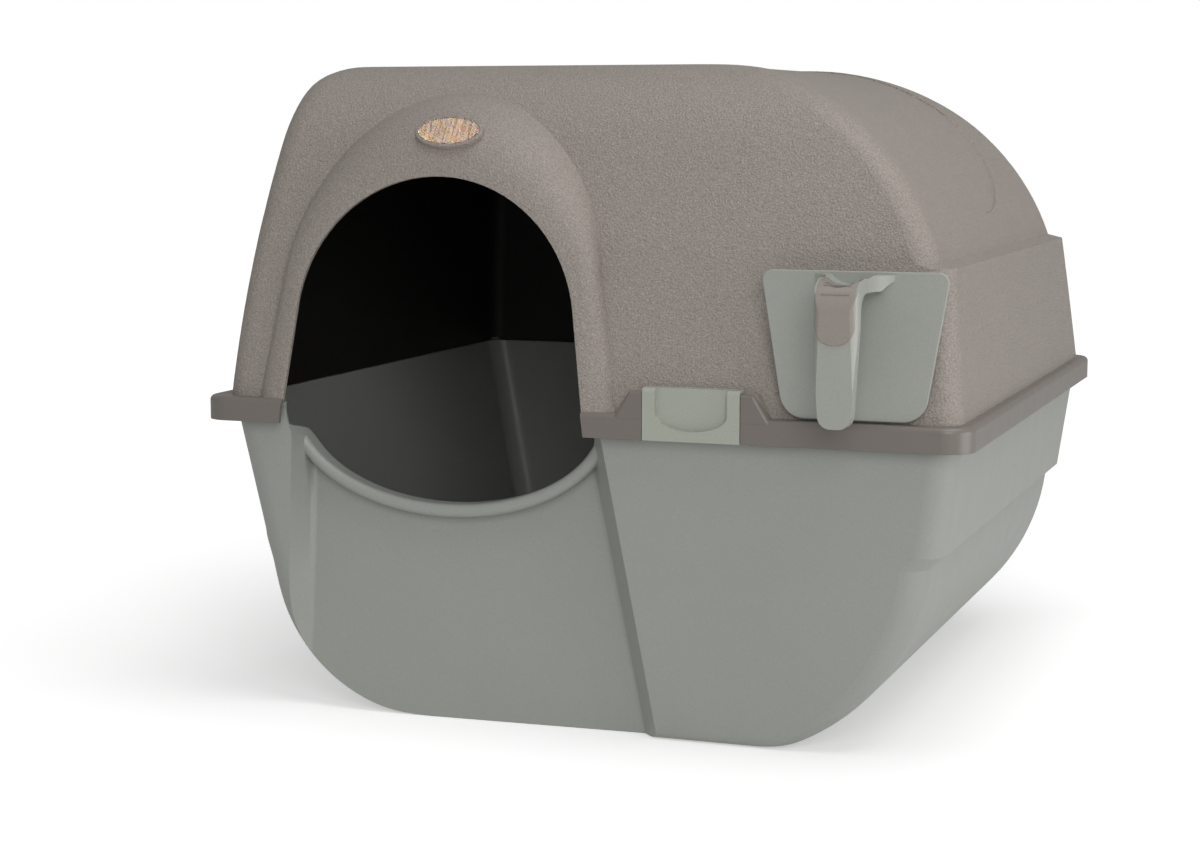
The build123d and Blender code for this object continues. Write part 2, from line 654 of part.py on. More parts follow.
def make_pan():
    shell_outer = pan_volume(0, FLANGE_TOP)
    shell_inner = pan_volume(WALL, FLANGE_TOP + 1)
    bay = bay_volume(0)
    bay_inner = bay_volume(WALL)
    dip = dip_prism(0)
    band = dip_prism(LIP_BAND)
    ears_front = clip_ears(PAN_FRONT_INSET + WALL)
    ears_left = clip_ears(PAN_LEFT_INSET + 2 * WALL)

    with BuildPart() as cavity:
        add(shell_inner)
        add(bay_inner, mode=Mode.SUBTRACT)

    with BuildPart() as lip:
        add(shell_outer)
        add(band, mode=Mode.INTERSECT)
        with Locations((0, -LIP_FRONT, 0)):
            ahead = (Align.CENTER, Align.MAX, Align.MIN)
            Box(RIM_WIDTH, RIM_DEPTH, ROOF_HEIGHT, align=ahead, mode=Mode.SUBTRACT)
        add(dip, mode=Mode.SUBTRACT)
        long_edges = lip.edges().filter_by(lambda edge: edge.length > DIP_HALF_WIDTH)
        fillet(long_edges.sort_by(Axis.Y)[:2], radius=LIP_ROUND)

    with BuildPart() as pan:
        add(shell_outer)
        add(bay, mode=Mode.SUBTRACT)
        add(lip.part)
        with BuildSketch(Plane.XY.offset(FLANGE_TOP)):
            shrink = 2 * (WALL + SKIRT_GAP)
            RectangleRounded(RIM_WIDTH - shrink, RIM_DEPTH - shrink, RIM_CORNER - shrink / 2)
        extrude(amount=-FLANGE_THICK)
        with Locations(FRONT_PLACE, REAR_PLACE):
            add(ears_front)
        with Locations(LEFT_FRONT_PLACE, LEFT_REAR_PLACE):
            add(ears_left)
        add(cavity.part, mode=Mode.SUBTRACT)
        add(dip, mode=Mode.SUBTRACT)
        with Locations(*CLIP_PLACES):
            with Locations((0, 0, FLANGE_TOP - FLANGE_THICK)):
                Box(
                    CLIP_WIDTH + 2 * CLIP_GAP,
                    CLIP_THICK + 2 * SEAT_GAP,
                    FLANGE_THICK + 1,
                    align=(Align.CENTER, Align.MIN, Align.MIN),
                    mode=Mode.SUBTRACT,
                )
    return pan.part


def make_clip():
    """Latch that pivots on the pan and hooks over the catch on the hood's rim."""
    hook_tip = CLIP_THICK + HOOK_REACH
    hook_root = hook_tip - HOOK_LIP
    with BuildPart() as clip:
        with BuildSketch(Plane.YZ.offset(-CLIP_WIDTH / 2)) as side:
            with BuildLine():
                Polyline(
                    (0, RIM_LOW),
                    (0, CLIP_TOP),
                    (hook_tip, CLIP_TOP),
                    (hook_tip, BUMP_TOP - HOOK_DROP),
                    (hook_root, BUMP_TOP - HOOK_DROP),
                    (hook_root, BUMP_TOP + SEAT_GAP),
                    (CLIP_THICK, BUMP_TOP + SEAT_GAP),
                    (CLIP_THICK, PIVOT_Z),
                    (PIVOT_IN, PIVOT_Z),
                    (PIVOT_IN, RIM_LOW),
                    close=True,
                )
            make_face()
            with Locations((PIVOT_IN, PIVOT_Z)):
                Circle(KNUCKLE_RADIUS)
            crown = side.vertices().group_by(Axis.Y)[-1].sort_by(Axis.X)[0]
            fillet(crown, radius=CLIP_ROUND)
        extrude(amount=CLIP_WIDTH)
        with BuildSketch(Plane.XZ):
            with Locations((0, THUMB_MIDDLE)):
                Ellipse(THUMB_HALF_WIDTH, THUMB_MIDDLE - THUMB_LOW)
                thumb_box = (2 * THUMB_HALF_WIDTH, CLIP_TOP - THUMB_MIDDLE + 1)
                Rectangle(*thumb_box, align=(Align.CENTER, Align.MIN))
        extrude(amount=-THUMB_DEPTH, mode=Mode.SUBTRACT)
        with Locations((0, PIVOT_IN, PIVOT_Z)):
            Cylinder(TRUNNION_RADIUS, CLIP_WIDTH + 2 * TRUNNION_LENGTH, rotation=(0, 90, 0))
    return clip.part


def plate_face(y_front):
    with BuildSketch(Plane.XZ.offset(y_front)) as plate:
        with BuildLine():
            Polyline(
                (PLATE_X - PLATE_FOOT_HALF, PLATE_LOW),
                (PLATE_X + PLATE_FOOT_HALF, PLATE_LOW),
                (PLATE_X + PLATE_TOP_HALF, PLATE_TOP),
                (PLATE_X - PLATE_TOP_HALF, PLATE_TOP),
                close=True,
            )
        make_face()
        fillet(plate.vertices().group_by(Axis.Y)[0], radius=PLATE_FOOT_CORNER)
        fillet(plate.vertices().group_by(Axis.Y)[-1], radius=PLATE_TOP_CORNER)
    return plate.sketch.faces()[0]


def handle_side_face(grow, depth):
    """Hooked side view of the handle: out from the plate, over a bend and down."""
    front = -HANDLE_FRONT - grow
    top = HANDLE_TOP + grow
    root = -PLATE_FRONT + PLATE_THICK / 2
    low = HANDLE_LOW - grow
    foot_back = HANDLE_FOOT_SLANT
    with BuildSketch(Plane.YZ) as side:
        with BuildLine():
            path = FilletPolyline(
                (root, top), (front, top), (front + foot_back, low), radius=HANDLE_BEND + grow
            )
            back = FilletPolyline(
                (front + foot_back + depth, low),
                (front + depth, top - depth),
                (root, top - depth),
                radius=max(HANDLE_BEND + grow - depth, 1.0),
            )
            Line(path @ 1, back @ 0)
            Line(back @ 1, path @ 0)
        make_face()
    return side.sketch.faces()[0]


def handle_volume(grow, depth):
    """Handle drawn as the common part of its side, plan and front views."""
    neck_y = -PLATE_FRONT - NECK_LENGTH
    root_y = -PLATE_FRONT + PLATE_THICK / 2
    front_y = -HANDLE_FRONT - grow
    half = GRIP_TOP_HALF + grow
    flare = NECK_FLARE_HALF + grow
    tip_z = HANDLE_TOP - WING_THICK
    wing_x = half + (flare - half) * (1 - cos(radians(45)))
    wing_z = WING_LOW + (tip_z - WING_LOW) * sin(radians(45))
    side_face = handle_side_face(grow, depth)
    with BuildPart() as volume:
        extrude(side_face, amount=HALF_WIDTH, both=True)
        with BuildSketch() as plan:
            bell_half = half + (flare - half) * NECK_BELL
            bell_y = neck_y + (root_y - neck_y) * (1 - NECK_BELL)
            with BuildLine():
                Polyline(
                    (HANDLE_X + half, neck_y),
                    (HANDLE_X + half, front_y),
                    (HANDLE_X - half, front_y),
                    (HANDLE_X - half, neck_y),
                )
                ThreePointArc(
                    (HANDLE_X - half, neck_y), (HANDLE_X - bell_half, bell_y), (HANDLE_X - flare, root_y)
                )
                Line((HANDLE_X - flare, root_y), (HANDLE_X + flare, root_y))
                ThreePointArc(
                    (HANDLE_X + flare, root_y), (HANDLE_X + bell_half, bell_y), (HANDLE_X + half, neck_y)
                )
            make_face()
            fillet(plan.vertices().group_by(Axis.Y)[0], radius=GRIP_ROUND + grow)
        extrude(amount=ROOF_HEIGHT, mode=Mode.INTERSECT)
        with BuildSketch(Plane.XZ) as front:
            foot_half = GRIP_FOOT_HALF + grow
            with BuildLine():
                Polyline(
                    (HANDLE_X - half, WING_LOW),
                    (HANDLE_X - foot_half, HANDLE_LOW - grow),
                    (HANDLE_X + foot_half, HANDLE_LOW - grow),
                    (HANDLE_X + half, WING_LOW),
                )
                ThreePointArc(
                    (HANDLE_X + half, WING_LOW), (HANDLE_X + wing_x, wing_z), (HANDLE_X + flare, tip_z)
                )
                Polyline(
                    (HANDLE_X + flare, tip_z),
                    (HANDLE_X + flare, ROOF_HEIGHT),
                    (HANDLE_X - flare, ROOF_HEIGHT),
                    (HANDLE_X - flare, tip_z),
                )
                ThreePointArc(
                    (HANDLE_X - flare, tip_z), (HANDLE_X - wing_x, wing_z), (HANDLE_X - half, WING_LOW)
                )
            make_face()
            fillet(front.vertices().group_by(Axis.Y)[0], radius=GRIP_FOOT_ROUND + grow)
        extrude(amount=RIM_DEPTH, mode=Mode.INTERSECT)
        saddle_z = HANDLE_TOP - SADDLE_DEPTH + SADDLE_RADIUS
        with BuildSketch(Plane.XZ):
            with Locations((HANDLE_X, saddle_z)):
                Circle(SADDLE_RADIUS - grow)
        extrude(amount=RIM_DEPTH, mode=Mode.SUBTRACT)
    return volume.part


def make_tray():
    trough_outer = tray_outline(Plane.XZ.offset(PLATE_FRONT - PLATE_THICK), 0)
    trough_inner = tray_outline(Plane.XZ.offset(PLATE_FRONT - PLATE_THICK), -TRAY_WALL, 2 * TRAY_WALL)
    trough_length = PLATE_FRONT - PLATE_THICK + TRAY_BACK
    plate_front = plate_face(PLATE_FRONT)
    handle_outer = handle_volume(0, HANDLE_DEPTH)
    handle_inner = handle_volume(-HANDLE_WALL, HANDLE_DEPTH + HANDLE_WALL)
    with BuildPart() as grip:
        add(handle_outer)
        add(handle_inner, mode=Mode.SUBTRACT)
    with BuildPart() as plate:
        extrude(plate_front, amount=-PLATE_THICK)
        fillet(plate.faces().sort_by(Axis.Y)[0].edges(), radius=PLATE_EDGE)
    with BuildPart() as tray:
        extrude(trough_outer, amount=-trough_length)
        extrude(trough_inner, amount=-(trough_length - TRAY_WALL), mode=Mode.SUBTRACT)
        add(plate.part)
        add(grip.part)
    return tray.part


def make_thumb_pad():
    """Soft-look inlay over the bend of the handle, with cross ridges and a rounded lower end."""
    over = handle_volume(PAD_THICK, HANDLE_DEPTH)
    above = handle_volume(PAD_THICK + RIDGE_RISE, HANDLE_DEPTH)
    under = handle_volume(0, HANDLE_DEPTH)
    half = GRIP_TOP_HALF - PAD_EDGE
    bend_y = -HANDLE_FRONT + HANDLE_BEND
    bend_z = HANDLE_TOP - HANDLE_BEND
    with BuildPart() as ridges:
        with BuildSketch(Plane.YZ.offset(HANDLE_X)):
            for angle in RIDGE_ANGLES:
                away = HANDLE_BEND * cos(radians(angle))
                rise = HANDLE_BEND * sin(radians(angle))
                with Locations((bend_y - away, bend_z + rise)):
                    Rectangle(HANDLE_BEND, RIDGE_THICK, rotation=-angle)
        extrude(amount=RIDGE_HALF_WIDTH, both=True)
        add(above, mode=Mode.INTERSECT)
    with BuildPart() as pad:
        add(over)
        add(ridges.part)
        add(under, mode=Mode.SUBTRACT)
        with BuildSketch(Plane.XZ.offset(PAD_BACK)) as outline:
            with Locations((HANDLE_X, PAD_LOW)):
                Rectangle(2 * half, HANDLE_TOP, align=(Align.CENTER, Align.MIN))
            fillet(outline.vertices().group_by(Axis.Y)[0], radius=half - PAD_THICK)
        extrude(amount=HALF_DEPTH, mode=Mode.INTERSECT)
    return pad.part


def make_badge_foil():
    with BuildPart() as foil:
        with BuildSketch(badge_plane(BADGE_STAND - BADGE_SINK)):
            Ellipse(BADGE_LENGTH / 2, BADGE_WIDTH / 2)
        extrude(amount=FOIL_THICK)
    return foil.part


def make_badge_dome():
    """Clear cap over the foil, with a softly rounded edge."""
    thick = BADGE_SINK - FOIL_THICK + DOME_RISE
    with BuildPart() as dome:
        with BuildSketch(badge_plane(BADGE_STAND - BADGE_SINK + FOIL_THICK)):
            Ellipse(BADGE_LENGTH / 2, BADGE_WIDTH / 2)
        extrude(amount=thick)
        fillet(dome.faces().sort_by(Axis.Z)[-1].edges(), radius=DOME_RISE)
    return dome.part


def make_channel():
    """Floor and side wall that carry the waste tray, screwed up into the hood's bosses."""
    with BuildPart() as channel:
        with BuildSketch(Plane.XY.offset(CHANNEL_LOW)):
            with Locations((CHANNEL_LEFT - CHANNEL_FLANGE, 0)):
                floor_box = (CHANNEL_RIGHT - CHANNEL_LEFT + CHANNEL_FLANGE, 2 * HALF_DEPTH)
                Rectangle(*floor_box, align=(Align.MIN, Align.CENTER))
        extrude(amount=CHANNEL_THICK)
        with BuildSketch(Plane.XY.offset(CHANNEL_LOW)):
            with Locations((CHANNEL_LEFT, 0)):
                Rectangle(CHANNEL_THICK, 2 * HALF_DEPTH, align=(Align.MIN, Align.CENTER))
        extrude(amount=CHANNEL_WALL_TOP - CHANNEL_LOW)
        add(hood_volume(WALL + CHANNEL_END_GAP, RIM_LOW), mode=Mode.INTERSECT)
        with BuildSketch(Plane.XY.offset(CHANNEL_LOW)):
            with Locations(*CHANNEL_SCREWS):
                Circle(SCREW_RADIUS + SCREW_HOLE_GAP)
        extrude(amount=CHANNEL_THICK, mode=Mode.SUBTRACT)
    return channel.part


def make_grille():
    """Slotted screen that slopes from the roof down to the waste tray."""
    seat_z = CHANNEL_WALL_TOP + SEAT_GAP
    seat_left = CHANNEL_LEFT - GRILLE_SEAT
    seat_right = CHANNEL_LEFT + CHANNEL_THICK
    slope = (GRILLE_HIGH_Z - seat_z) / (seat_left - GRILLE_HIGH_X)
    run = seat_left - GRILLE_HIGH_X - 2 * SLOT_MARGIN
    slot_length = (run - (SLOT_ROWS - 1) * SLOT_RIB) / SLOT_ROWS
    slot_centre = (seat_left + GRILLE_HIGH_X) / 2
    with BuildPart() as grille:
        with BuildSketch(Plane.XZ.offset(HALF_DEPTH)):
            with BuildLine():
                Polyline(
                    (GRILLE_HIGH_X - GRILLE_LIP, GRILLE_HIGH_Z),
                    (GRILLE_HIGH_X, GRILLE_HIGH_Z),
                    (seat_left, seat_z),
                    (seat_right, seat_z),
                    (seat_right, seat_z + GRILLE_THICK),
                    (seat_left + GRILLE_THICK * slope / 2, seat_z + GRILLE_THICK),
                    (GRILLE_HIGH_X + GRILLE_THICK * slope / 2, GRILLE_HIGH_Z + GRILLE_THICK),
                    (GRILLE_HIGH_X - GRILLE_LIP, GRILLE_HIGH_Z + GRILLE_THICK),
                    close=True,
                )
            make_face()
        extrude(amount=-RIM_DEPTH)
        add(hood_volume(WALL + GRILLE_EDGE_GAP, RIM_LOW), mode=Mode.INTERSECT)
        with BuildSketch(Plane.XY.offset(CHANNEL_WALL_TOP)):
            with Locations((slot_centre, 0)):
                with GridLocations(slot_length + SLOT_RIB, SLOT_PITCH, SLOT_ROWS, SLOT_COUNT):
                    RectangleRounded(slot_length, SLOT_WIDTH, SLOT_WIDTH / 3)
        extrude(amount=ROOF_HEIGHT - CHANNEL_WALL_TOP, mode=Mode.SUBTRACT)
        with BuildSketch(Plane.XY.offset(GRILLE_HIGH_Z)):
            with Locations(*GRILLE_SCREWS):
                Circle(SCREW_RADIUS + SCREW_HOLE_GAP)
        extrude(amount=GRILLE_THICK, mode=Mode.SUBTRACT)
    return grille.part


def make_screws(places, under_z, plate_thick):
    """Pan-head screws driven upwards, heads under the plate that they hold."""
    with BuildPart() as screws:
        with BuildSketch(Plane.XY.offset(under_z)):
            with Locations(*places):
                Circle(SCREW_HEAD_RADIUS)
        extrude(amount=-SCREW_HEAD_THICK)
        heads = screws.faces().group_by(Axis.Z)[0]
        fillet(heads.edges(), radius=SCREW_HEAD_THICK / 3)
        with BuildSketch(Plane.XY.offset(under_z)):
            with Locations(*places):
                Circle(SCREW_RADIUS - SCREW_FIT)
        extrude(amount=plate_thick + SCREW_LENGTH - 1)
    return screws.part


def place_clip(clip, place):
    with BuildPart() as placed:
        with Locations(place):
            add(clip)
    return placed.part


clip = make_clip()
pieces = {
    "base_pan": make_pan(),
    "hood_shell": make_hood(),
    "separator_grille": make_grille(),
    "tray_channel": make_channel(),
    "waste_tray": make_tray(),
    "thumb_pad": make_thumb_pad(),
    "badge_foil": make_badge_foil(),
    "badge_dome": make_badge_dome(),
    "front_clip": place_clip(clip, FRONT_PLACE),
    "rear_clip": place_clip(clip, REAR_PLACE),
    "left_front_clip": place_clip(clip, LEFT_FRONT_PLACE),
    "left_rear_clip": place_clip(clip, LEFT_REAR_PLACE),
    "channel_screws": make_screws(CHANNEL_SCREWS, CHANNEL_LOW, CHANNEL_THICK),
    "grille_screws": make_screws(GRILLE_SCREWS, GRILLE_HIGH_Z, GRILLE_THICK),
}

os.makedirs("parts", exist_ok=True)
for name, piece in pieces.items():
    piece.label = name
    export_step(piece, f"parts/{name}.step")
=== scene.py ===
"""Finish, light and camera for the self-cleaning litter box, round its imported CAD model."""

import math

import bpy
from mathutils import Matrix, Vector
from mathutils.bvhtree import BVHTree


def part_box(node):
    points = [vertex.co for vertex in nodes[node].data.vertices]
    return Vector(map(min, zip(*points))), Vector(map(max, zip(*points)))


MM = 0.001

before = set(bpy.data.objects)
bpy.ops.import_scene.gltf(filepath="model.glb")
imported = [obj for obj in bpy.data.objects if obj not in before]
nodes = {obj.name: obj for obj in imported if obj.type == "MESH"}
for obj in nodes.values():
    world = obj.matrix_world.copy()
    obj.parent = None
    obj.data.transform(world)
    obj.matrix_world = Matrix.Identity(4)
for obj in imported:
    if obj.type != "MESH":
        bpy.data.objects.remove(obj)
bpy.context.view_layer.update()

# Colours of the plastics, linear
TAUPE = (0.275, 0.243, 0.216)
# Near-black copy of the taupe: painted shade for the hood's inside, which is the same plastic
TAUPE_INSIDE_PAINTED_SHADE = (0.012, 0.011, 0.010)
# The taupe darkened to 0.6: painted shade on the smooth rim and catches, which are the same plastic
TAUPE_SMOOTH_PAINTED_SHADE = (0.165, 0.146, 0.130)
GREY_GREEN = (0.303, 0.313, 0.287)
GREY_GREEN_CLIP = (0.345, 0.360, 0.305)
PALE_GREEN = (0.320, 0.332, 0.300)
TAUPE_PAD = (0.270, 0.240, 0.215)
DARK = (0.045, 0.045, 0.043)
STEEL = (0.56, 0.56, 0.55)
RESIN = (0.97, 0.98, 0.98)
FOIL_BASE = (0.90, 0.66, 0.48)
FOIL_BANDS = [
    (0.92, 0.50, 0.32),
    (0.94, 0.72, 0.38),
    (0.74, 0.74, 0.46),
    (0.70, 0.62, 0.58),
    (0.88, 0.50, 0.46),
]

# Heights that part the grained hood from its smooth rim
RIM_TOP = 240 * MM
CATCH_TOP = 257 * MM
CATCH_DEPTH = 14 * MM       # how far in from the rim's face a catch reaches
CATCH_HALF = 55 * MM        # half of a catch's length, with room beside it
CLIP_X = 95 * MM            # middle of the front and rear clips
CLIP_Y = 150 * MM           # middle of the left clips, to the front and back
SNAP = 0.4 * MM
EDGE = 0.6 * MM             # softness of moulded edges

# Sizes of the patterns in the plastics
DRIFT_SIZE = 90 * MM        # slow drift of the colour
FLECK_SIZE = 1.1 * MM
PATCH_SIZE = 22 * MM        # patches of more and less gloss
PATCH_ROUGH = 0.05          # how far the roughness sways
RIPPLE_SIZE = 35 * MM       # waves in a smooth wall
RIPPLE_DEPTH = 0.25 * MM
SKIN_SIZE = 0.5 * MM        # fine skin of a smooth wall
SKIN_DEPTH = 0.006 * MM
HOOD_GRAIN = 1.5 * MM
CELL_SMOOTHNESS = 0.6
PEBBLE_SHARE = 0.7          # shares of pebbles and pores in the grain's height
PORE_SHARE = 0.5

# Plane of the entrance, which parts the hood's outside from its inside
ENTRANCE_Y = -273 * MM
ENTRANCE_LOW = 222 * MM
ENTRANCE_SLOPE = math.tan(math.radians(6.5))
ENTRANCE_DEPTH = 8 * MM
LIFT = 2 * MM               # how far off a face the test for a wall outside it starts


# Node helpers

class Finish:
    """A material under construction: a Principled shader and the nodes that feed it."""

    def __init__(self, name):
        self.material = bpy.data.materials.new(name)
        self.material.use_nodes = True
        self.tree = self.material.node_tree
        self.tree.nodes.clear()
        self.output = self.add("ShaderNodeOutputMaterial")
        self.shader = self.add("ShaderNodeBsdfPrincipled")
        self.link(self.shader.outputs["BSDF"], self.output.inputs["Surface"])
        self.place = self.add("ShaderNodeTexCoord").outputs["Object"]

    def add(self, kind, **settings):
        node = self.tree.nodes.new(kind)
        for key, value in settings.items():
            setattr(node, key, value)
        return node

    def link(self, source, target):
        self.tree.links.new(source, target)

    def set(self, **values):
        """Constants on the shader's own sockets."""
        for key, value in values.items():
            self.shader.inputs[key.replace("_", " ")].default_value = value

    def noise(self, size, detail=2.0, roughness=0.5, stretch=(1, 1, 1)):
        """Noise with features of about the given size in metres, from 0 to 1."""
        spread = self.add("ShaderNodeMapping")
        spread.inputs["Scale"].default_value = stretch
        self.link(self.place, spread.inputs["Vector"])
        texture = self.add("ShaderNodeTexNoise")
        texture.inputs["Scale"].default_value = 1 / size
        texture.inputs["Detail"].default_value = detail
        texture.inputs["Roughness"].default_value = roughness
        self.link(spread.outputs["Vector"], texture.inputs["Vector"])
        return texture.outputs["Fac"]

    def cells(self, size):
        """Rounded cells of about the given size in metres."""
        texture = self.add("ShaderNodeTexVoronoi", feature="SMOOTH_F1")
        texture.inputs["Scale"].default_value = 1 / size
        texture.inputs["Smoothness"].default_value = CELL_SMOOTHNESS
        self.link(self.place, texture.inputs["Vector"])
        return texture.outputs["Distance"]

    def math(self, operation, a, b):
        node = self.add("ShaderNodeMath", operation=operation)
        for socket, value in zip(node.inputs, (a, b)):
            if isinstance(value, (int, float)):
                socket.default_value = value
            else:
                self.link(value, socket)
        return node.outputs["Value"]

    def remap(self, value, low, high, source_low=0.0, source_high=1.0):
        """Stretches a value from the source range, 0..1 if not given, to low..high."""
        node = self.add("ShaderNodeMapRange")
        node.inputs["From Min"].default_value = source_low
        node.inputs["From Max"].default_value = source_high
        node.inputs["To Min"].default_value = low
        node.inputs["To Max"].default_value = high
        self.link(value, node.inputs["Value"])
        return node.outputs["Result"]

    def mix(self, share, first, second):
        """Colour between first and second."""
        node = self.add("ShaderNodeMix", data_type="RGBA")
        self.link(share, node.inputs["Factor"])
        for socket, colour in ((node.inputs["A"], first), (node.inputs["B"], second)):
            if isinstance(colour, tuple):
                socket.default_value = (*colour, 1)
            else:
                self.link(colour, socket)
        return node.outputs["Result"]

    def tint(self, colour, factor):
        """The colour multiplied by a factor."""
        node = self.add("ShaderNodeVectorMath", operation="SCALE")
        self.link(colour, node.inputs[0])
        self.link(factor, node.inputs["Scale"])
        return node.outputs["Vector"]

    def soft_edges(self, radius):
        """Normal that rounds sharp edges by the given radius."""
        node = self.add("ShaderNodeBevel", samples=4)
        node.inputs["Radius"].default_value = radius
        return node.outputs["Normal"]

    def bump(self, height, depth, under=None):
        """Normal from a height of 0..1 that stands for the given depth in metres."""
        node = self.add("ShaderNodeBump")
        node.inputs["Distance"].default_value = depth
        node.inputs["Strength"].default_value = 1.0
        self.link(height, node.inputs["Height"])
        if under is not None:
            self.link(under, node.inputs["Normal"])
        return node.outputs["Normal"]


def shade(colour, factor):
    return tuple(channel * factor for channel in colour)


def plastic(name, colour, rough, grain=0.0, grain_depth=0.0, drift=0.04, fleck=0.05):
    """Moulded plastic with slow colour drift, fine flecks and, if grain isn't 0, a pebbled grain."""
    finish = Finish(name)
    slow = finish.noise(DRIFT_SIZE, detail=3)
    fine = finish.noise(FLECK_SIZE, detail=2)
    drifted = finish.mix(slow, shade(colour, 1 - drift), shade(colour, 1 + drift))
    speck = finish.remap(fine, -fleck, fleck, 0.3, 0.7)
    flecked = finish.tint(drifted, finish.math("ADD", speck, 1.0))
    finish.link(flecked, finish.shader.inputs["Base Color"])
    patch = finish.noise(PATCH_SIZE, detail=4)
    sway = finish.remap(patch, rough - PATCH_ROUGH, rough + PATCH_ROUGH)
    finish.link(sway, finish.shader.inputs["Roughness"])
    if grain:
        pebbles = finish.cells(grain)
        pores = finish.noise(grain * 0.45, detail=3, roughness=0.6)
        pebbles = finish.math("MULTIPLY", pebbles, PEBBLE_SHARE)
        pores = finish.math("MULTIPLY", pores, PORE_SHARE)
        height = finish.math("ADD", pebbles, pores)
        normal = finish.bump(height, grain_depth, under=finish.soft_edges(EDGE))
    else:
        ripple = finish.noise(RIPPLE_SIZE, detail=2)
        skin = finish.noise(SKIN_SIZE, detail=3)
        normal = finish.bump(ripple, RIPPLE_DEPTH, under=finish.soft_edges(EDGE))
        normal = finish.bump(skin, SKIN_DEPTH, under=normal)
    finish.link(normal, finish.shader.inputs["Normal"])
    return finish


def brushed_steel(name):
    finish = Finish(name)
    streaks = finish.noise(0.4 * MM, detail=3, stretch=(1, 1, 14))
    colour = finish.mix(streaks, shade(STEEL, 0.85), shade(STEEL, 1.1))
    finish.link(colour, finish.shader.inputs["Base Color"])
    finish.link(finish.remap(streaks, 0.28, 0.45), finish.shader.inputs["Roughness"])
    finish.set(Metallic=1.0)
    return finish


def iridescent_foil(name):
    """Plain foil that breaks light into soft warm bands, with no print."""
    finish = Finish(name)
    sway = finish.noise(9 * MM, detail=2)
    bands = finish.add("ShaderNodeTexWave", wave_type="BANDS", bands_direction="DIAGONAL")
    bands.inputs["Scale"].default_value = 34
    bands.inputs["Distortion"].default_value = 5
    bands.inputs["Detail"].default_value = 2
    finish.link(finish.place, bands.inputs["Vector"])
    hue = finish.add("ShaderNodeValToRGB")
    ramp = hue.color_ramp
    while len(ramp.elements) < len(FOIL_BANDS):
        ramp.elements.new(0.5)
    for k, (element, band) in enumerate(zip(ramp.elements, FOIL_BANDS)):
        element.position = k / (len(FOIL_BANDS) - 1)
        element.color = (*band, 1)
    finish.link(bands.outputs["Fac"], hue.inputs["Fac"])
    colour = finish.mix(sway, hue.outputs["Color"], FOIL_BASE)
    finish.link(colour, finish.shader.inputs["Base Color"])
    finish.link(finish.remap(sway, 0.18, 0.34), finish.shader.inputs["Roughness"])
    finish.set(Metallic=0.35)
    return finish


def clear_resin(name):
    finish = Finish(name)
    swirl = finish.noise(6 * MM, detail=1)
    finish.link(finish.remap(swirl, 0.0, 0.05), finish.shader.inputs["Roughness"])
    finish.link(finish.bump(swirl, 0.03 * MM), finish.shader.inputs["Normal"])
    finish.set(Base_Color=(*RESIN, 1), Transmission_Weight=1.0, IOR=1.46)
    return finish


# Finishes

hood_grained = plastic(
    "hood_grained", TAUPE, 0.50, grain=HOOD_GRAIN, grain_depth=0.75 * MM, fleck=0.26
)
# Painted shade: the hood's inside is the same taupe plastic, made near-black
hood_inside_painted_shade = plastic("hood_inside_painted_shade", TAUPE_INSIDE_PAINTED_SHADE, 0.55, grain=HOOD_GRAIN, grain_depth=0.2 * MM)
# Smooth finish for the rim and catches, its darker taupe a painted shade
hood_smooth_painted_shade = plastic("hood_smooth_painted_shade", TAUPE_SMOOTH_PAINTED_SHADE, 0.36)
pan_satin = plastic("pan_satin", GREY_GREEN, 0.40)
clip_gloss = plastic("clip_gloss", GREY_GREEN_CLIP, 0.24)
tray_matte = plastic("tray_matte", PALE_GREEN, 0.42)
pad_satin = plastic("pad_satin", TAUPE_PAD, 0.20)
dark_moulded = plastic("dark_moulded", DARK, 0.5, grain=1.0 * MM, grain_depth=0.08 * MM)
tray_matte.set(Subsurface_Weight=0.1, Subsurface_Scale=4 * MM)
clip_gloss.set(Coat_Weight=0.4, Coat_Roughness=0.12)
badge_iridescent = iridescent_foil("badge_iridescent")
badge_resin = clear_resin("badge_resin")
screw_steel = brushed_steel("screw_steel")

FINISHES = {
    "base_pan": pan_satin,
    "hood_shell": hood_grained,
    "separator_grille": dark_moulded,
    "tray_channel": dark_moulded,
    "waste_tray": tray_matte,
    "thumb_pad": pad_satin,
    "badge_foil": badge_iridescent,
    "badge_dome": badge_resin,
    "front_clip": clip_gloss,
    "rear_clip": clip_gloss,
    "left_front_clip": clip_gloss,
    "left_rear_clip": clip_gloss,
    "channel_screws": screw_steel,
    "grille_screws": screw_steel,
}


def dress(name, *finishes):
    materials = nodes[name].data.materials
    materials.clear()
    for finish in finishes:
        materials.append(finish.material)


for name, finish in FINISHES.items():
    dress(name, finish)

